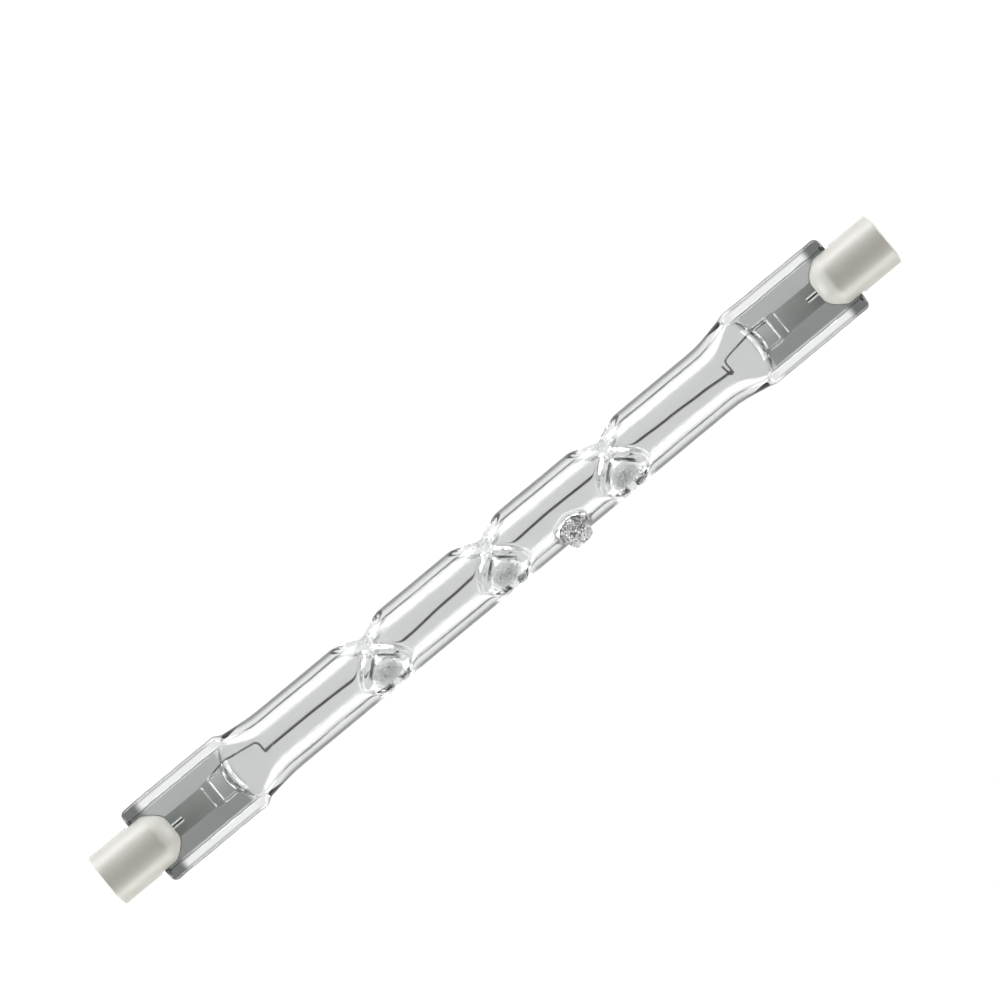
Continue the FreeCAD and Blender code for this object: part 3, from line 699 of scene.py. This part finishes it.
coilSettings = {
    "start": -34.7, "end": 35.2, "meanRadius": 0.15, "wireRadius": 0.06, "pitch": 0.2, "steps": 10,
    "wireSides": 6, "smooth": 60,
    # given line of the coil across (y) along the lamp
    "line": [(-34.8, 0.0), (-29, 0.0), (-21, -0.2), (-14, -0.4), (-7, -0.1), (-3, 0.1), (3, 0.2), (8, 0.3),
             (15, 0.2), (21, 0.0), (26, -0.2), (31, -0.4), (34.8, -0.65)],
    "droop": 0.35, "droopSpan": 17.9,
    # drawn out to a plain wire where it passes the dimples
    "plainFrom": 3.0, "plainTo": 2.2, "plainShare": 0.3,
}


def makeCoil(s, dimplePlaces, material):
    bpy.ops.object.select_all(action="DESELECT")
    bpy.ops.mesh.primitive_circle_add(vertices=s["wireSides"], radius=s["wireRadius"] * mm,
                                      location=(s["start"] * mm, s["meanRadius"] * mm, 0))
    coil = bpy.context.active_object
    bpy.ops.object.transform_apply(location=True, rotation=True, scale=True)
    turns = int((s["end"] - s["start"]) / s["pitch"])
    wind = coil.modifiers.new("wind", "SCREW")
    wind.axis, wind.angle, wind.screw_offset = "X", 2 * math.pi, s["pitch"] * mm
    wind.iterations, wind.steps, wind.render_steps = turns, s["steps"], s["steps"]
    bpy.ops.object.modifier_apply(modifier="wind")
    for v in coil.data.vertices:
        x = v.co.x / mm
        off = min(abs(x - place) for place in dimplePlaces)
        thin = s["plainShare"] + (1 - s["plainShare"]) * smoothStep(s["plainTo"], s["plainFrom"], off)
        v.co.y = v.co.y * thin + throughPoints(s["line"], x, smoothStep) * mm
        v.co.z *= thin
        v.co.z -= s["droop"] * 0.5 * (1 - math.cos(2 * math.pi * x / s["droopSpan"])) * mm
    closePiece(coil, s["smooth"])
    dress(coil, "filamentCoil", material, "filament")
    print("coil wound", turns, "turns")


# lead wires: bent from the foil to the coil

leadSettings = {
    "radius": 0.13, "smooth": 50,
    "right": [(41.9, 1.2, 0), (41.2, 1.3, 0), (39.0, 1.3, 0), (37.2, 1.1, 0), (35.7, 0.9, 0),
              (35.25, 0.7, 0.05), (35.2, 0.0, 0.1), (35.25, -0.8, 0.05), (35.1, -1.0, -0.1),
              (34.85, -0.9, -0.2), (34.75, -0.5, -0.1), (34.66, 0.46, 0.1)],
    "left": [(-41.9, 1.4, 0), (-41.2, 1.85, 0), (-39.6, 2.05, 0), (-37.0, 1.74, 0), (-35.4, 1.5, 0),
             (-34.95, 1.4, 0), (-34.75, 0.9, 0.02), (-34.8, 0.1, 0.05), (-34.7, -0.2, 0.0), (-34.3, -0.1, 0),
             (-33.4, 0.0, 0)],
}


def bentWire(name, points, radius):
    bpy.ops.object.select_all(action="DESELECT")
    bpy.ops.curve.primitive_nurbs_path_add()
    wire = bpy.context.active_object
    wire.name = name
    spline = wire.data.splines[0]
    spline.points.add(len(points) - len(spline.points))
    for point, place in zip(spline.points, points):
        point.co = (place[0] * mm, place[1] * mm, place[2] * mm, 1)
    spline.order_u = 3
    spline.use_endpoint_u = True
    spline.resolution_u = 8
    wire.data.bevel_depth = radius * mm
    wire.data.bevel_resolution = 4
    wire.data.use_fill_caps = True
    bpy.ops.object.convert(target="MESH")
    return bpy.context.active_object


def makeLeads(s, material):
    for side in ("right", "left"):
        wire = bentWire("lead", s[side], s["radius"])
        closePiece(wire, s["smooth"])
        dress(wire, f"innerLead.{side}", material, f"inner_lead_{side}")
    print("leads bent")


# fired bodies: one recipe, mottled colour and a fine grain; mottle and grain are size (mm) and detail

firedLooks = {
    # white ceramic, satin, with faint mottling from the pressing
    "steatite": {"light": "#f4f1e6", "dark": "#eae6d8", "mottle": (1.6, 4.0), "grain": (0.25, 3.0),
                 "grainStrength": 0.12, "grainDepth": 0.04, "roughness": 0.45, "ior": 1.55},
    # matt and gritty, a little beige
    "basingCement": {"light": "#d8d3c8", "dark": "#b9b4a8", "mottle": (0.35, 5.0), "grain": (0.35, 5.0),
                     "grainStrength": 0.4, "grainDepth": 0.05, "roughness": 0.85, "ior": 1.5},
}


def firedBody(name, s):
    material, tree, output, place = newMaterial(name)
    pattern = {}
    for kind in ("mottle", "grain"):
        size, detail = s[kind]
        pattern[kind] = addNode(tree, "ShaderNodeTexNoise", {
            "Vector": place, "Scale": 1 / (size * mm), "Detail": detail}).outputs["Fac"]
    tint = addNode(tree, "ShaderNodeMix", {
        "Factor": pattern["mottle"], "A": linearColour(s["light"]), "B": linearColour(s["dark"])},
        data_type="RGBA")
    bump = addNode(tree, "ShaderNodeBump", {
        "Height": pattern["grain"], "Strength": s["grainStrength"], "Distance": s["grainDepth"] * mm})
    body = addNode(tree, "ShaderNodeBsdfPrincipled", {
        "Base Color": tint.outputs["Result"], "Normal": bump.outputs[0],
        "Roughness": s["roughness"], "IOR": s["ior"]})
    tree.links.new(body.outputs[0], output.inputs["Surface"])
    return material


# metals: one recipe, a drawn, etched or plated surface with streaks along X

metalLooks = {
    # light, dark, roughness, width of a streak (mm), metallic
    "tungstenWire": ("#262628", "#151516", 0.6, 0.3, 0.6),  # dull and nearly black
    "molybdenumWire": ("#8c8d8c", "#6f7171", 0.25, 0.2, 1.0),  # bright drawn grey
    "molybdenumFoil": ("#c8cbca", "#b6bab9", 0.55, 0.4, 0.8),  # etched, matt silver
    "nickelPlate": ("#c9c5bc", "#b3afa6", 0.3, 0.3, 1.0),  # warm silver
}


def streakedMetal(name, light, dark, rough, streak, metallic):
    material, tree, output, place = newMaterial(name)
    lay = addNode(tree, "ShaderNodeMapping", {"Vector": place, "Scale": (0.2, 1, 1)})  # long streaks
    streaks = addNode(tree, "ShaderNodeTexNoise", {
        "Vector": lay.outputs[0], "Scale": 1 / (streak * mm), "Detail": 3.0})
    tint = addNode(tree, "ShaderNodeMix", {
        "Factor": streaks.outputs["Fac"], "A": linearColour(light), "B": linearColour(dark)},
        data_type="RGBA")
    bump = addNode(tree, "ShaderNodeBump", {
        "Height": streaks.outputs["Fac"], "Strength": 0.2, "Distance": 0.01 * mm})
    metal = addNode(tree, "ShaderNodeBsdfPrincipled", {
        "Base Color": tint.outputs["Result"], "Normal": bump.outputs[0],
        "Roughness": rough, "Metallic": metallic})
    tree.links.new(metal.outputs[0], output.inputs["Surface"])
    return material


# lead wire with painted light: painted highlights along its flanks beside a painted dark reflection along its
# crown

paintedGlintWireLook = {
    # painted dark reflection (crown) and painted highlights (flank), the band where the highlight begins and
    # is full (mm), and a noise that wobbles it
    "crown": "#1c1d1d", "flankHighlight": "#f6f6f4", "flankFrom": 0.12, "flankTo": 0.2, "nick": 0.5, "nickDepth": 0.12,
    "roughness": 0.5, "metallic": 0.3,
}


def paintedGlintWire(s):
    material, tree, output, place = newMaterial("molybdenumWirePaintedGlints")
    across = addNode(tree, "ShaderNodeSeparateXYZ", {0: place}).outputs["Y"]
    off = addNode(tree, "ShaderNodeMath", {0: across}, operation="ABSOLUTE").outputs[0]
    nicks = addNode(tree, "ShaderNodeTexNoise", {
        "Vector": place, "Scale": 1 / (s["nick"] * mm), "Detail": 2.0})
    shifted = addNode(tree, "ShaderNodeMath", {
        0: nicks.outputs["Fac"], 1: s["nickDepth"] * mm, 2: off}, operation="MULTIPLY_ADD")
    # painted highlight: white off the middle of the wire, dark reflection along it
    flankHighlight = addNode(tree, "ShaderNodeMapRange", {
        "Value": shifted.outputs[0], "From Min": s["flankFrom"] * mm, "From Max": s["flankTo"] * mm})
    tint = addNode(tree, "ShaderNodeMix", {
        "Factor": flankHighlight.outputs[0], "A": linearColour(s["crown"]), "B": linearColour(s["flankHighlight"])},
        data_type="RGBA")
    metal = addNode(tree, "ShaderNodeBsdfPrincipled", {
        "Base Color": tint.outputs["Result"], "Roughness": s["roughness"], "Metallic": s["metallic"]})
    tree.links.new(metal.outputs[0], output.inputs["Surface"])
    return material


makeCamera(cameraSettings)
makeFloor(stageSettings)
makeLights(stageSettings)
dimples = quartzSettings["dimplePlaces"]
metals = {name: streakedMetal(name, *look) for name, look in metalLooks.items()}
fired = {name: firedBody(name, look) for name, look in firedLooks.items()}
makeQuartz(quartzSettings, fusedQuartz(quartzLook, dimples))
makeCaps(capSettings, fired["steatite"])
makeCoil(coilSettings, dimples, metals["tungstenWire"])
makeLeads(leadSettings, metals["molybdenumWire"])

# CAD nodes that stay get their own finish
finishes = {
    "foil": metals["molybdenumFoil"], "outer_lead": paintedGlintWire(paintedGlintWireLook),
    "contact": metals["nickelPlate"], "cement": fired["basingCement"],
}
for node, material in finishes.items():
    for side in ("left", "right"):
        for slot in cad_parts[f"{node}_{side}"].material_slots:
            slot.material = material
print("foils, outer leads, contacts and cement finished")
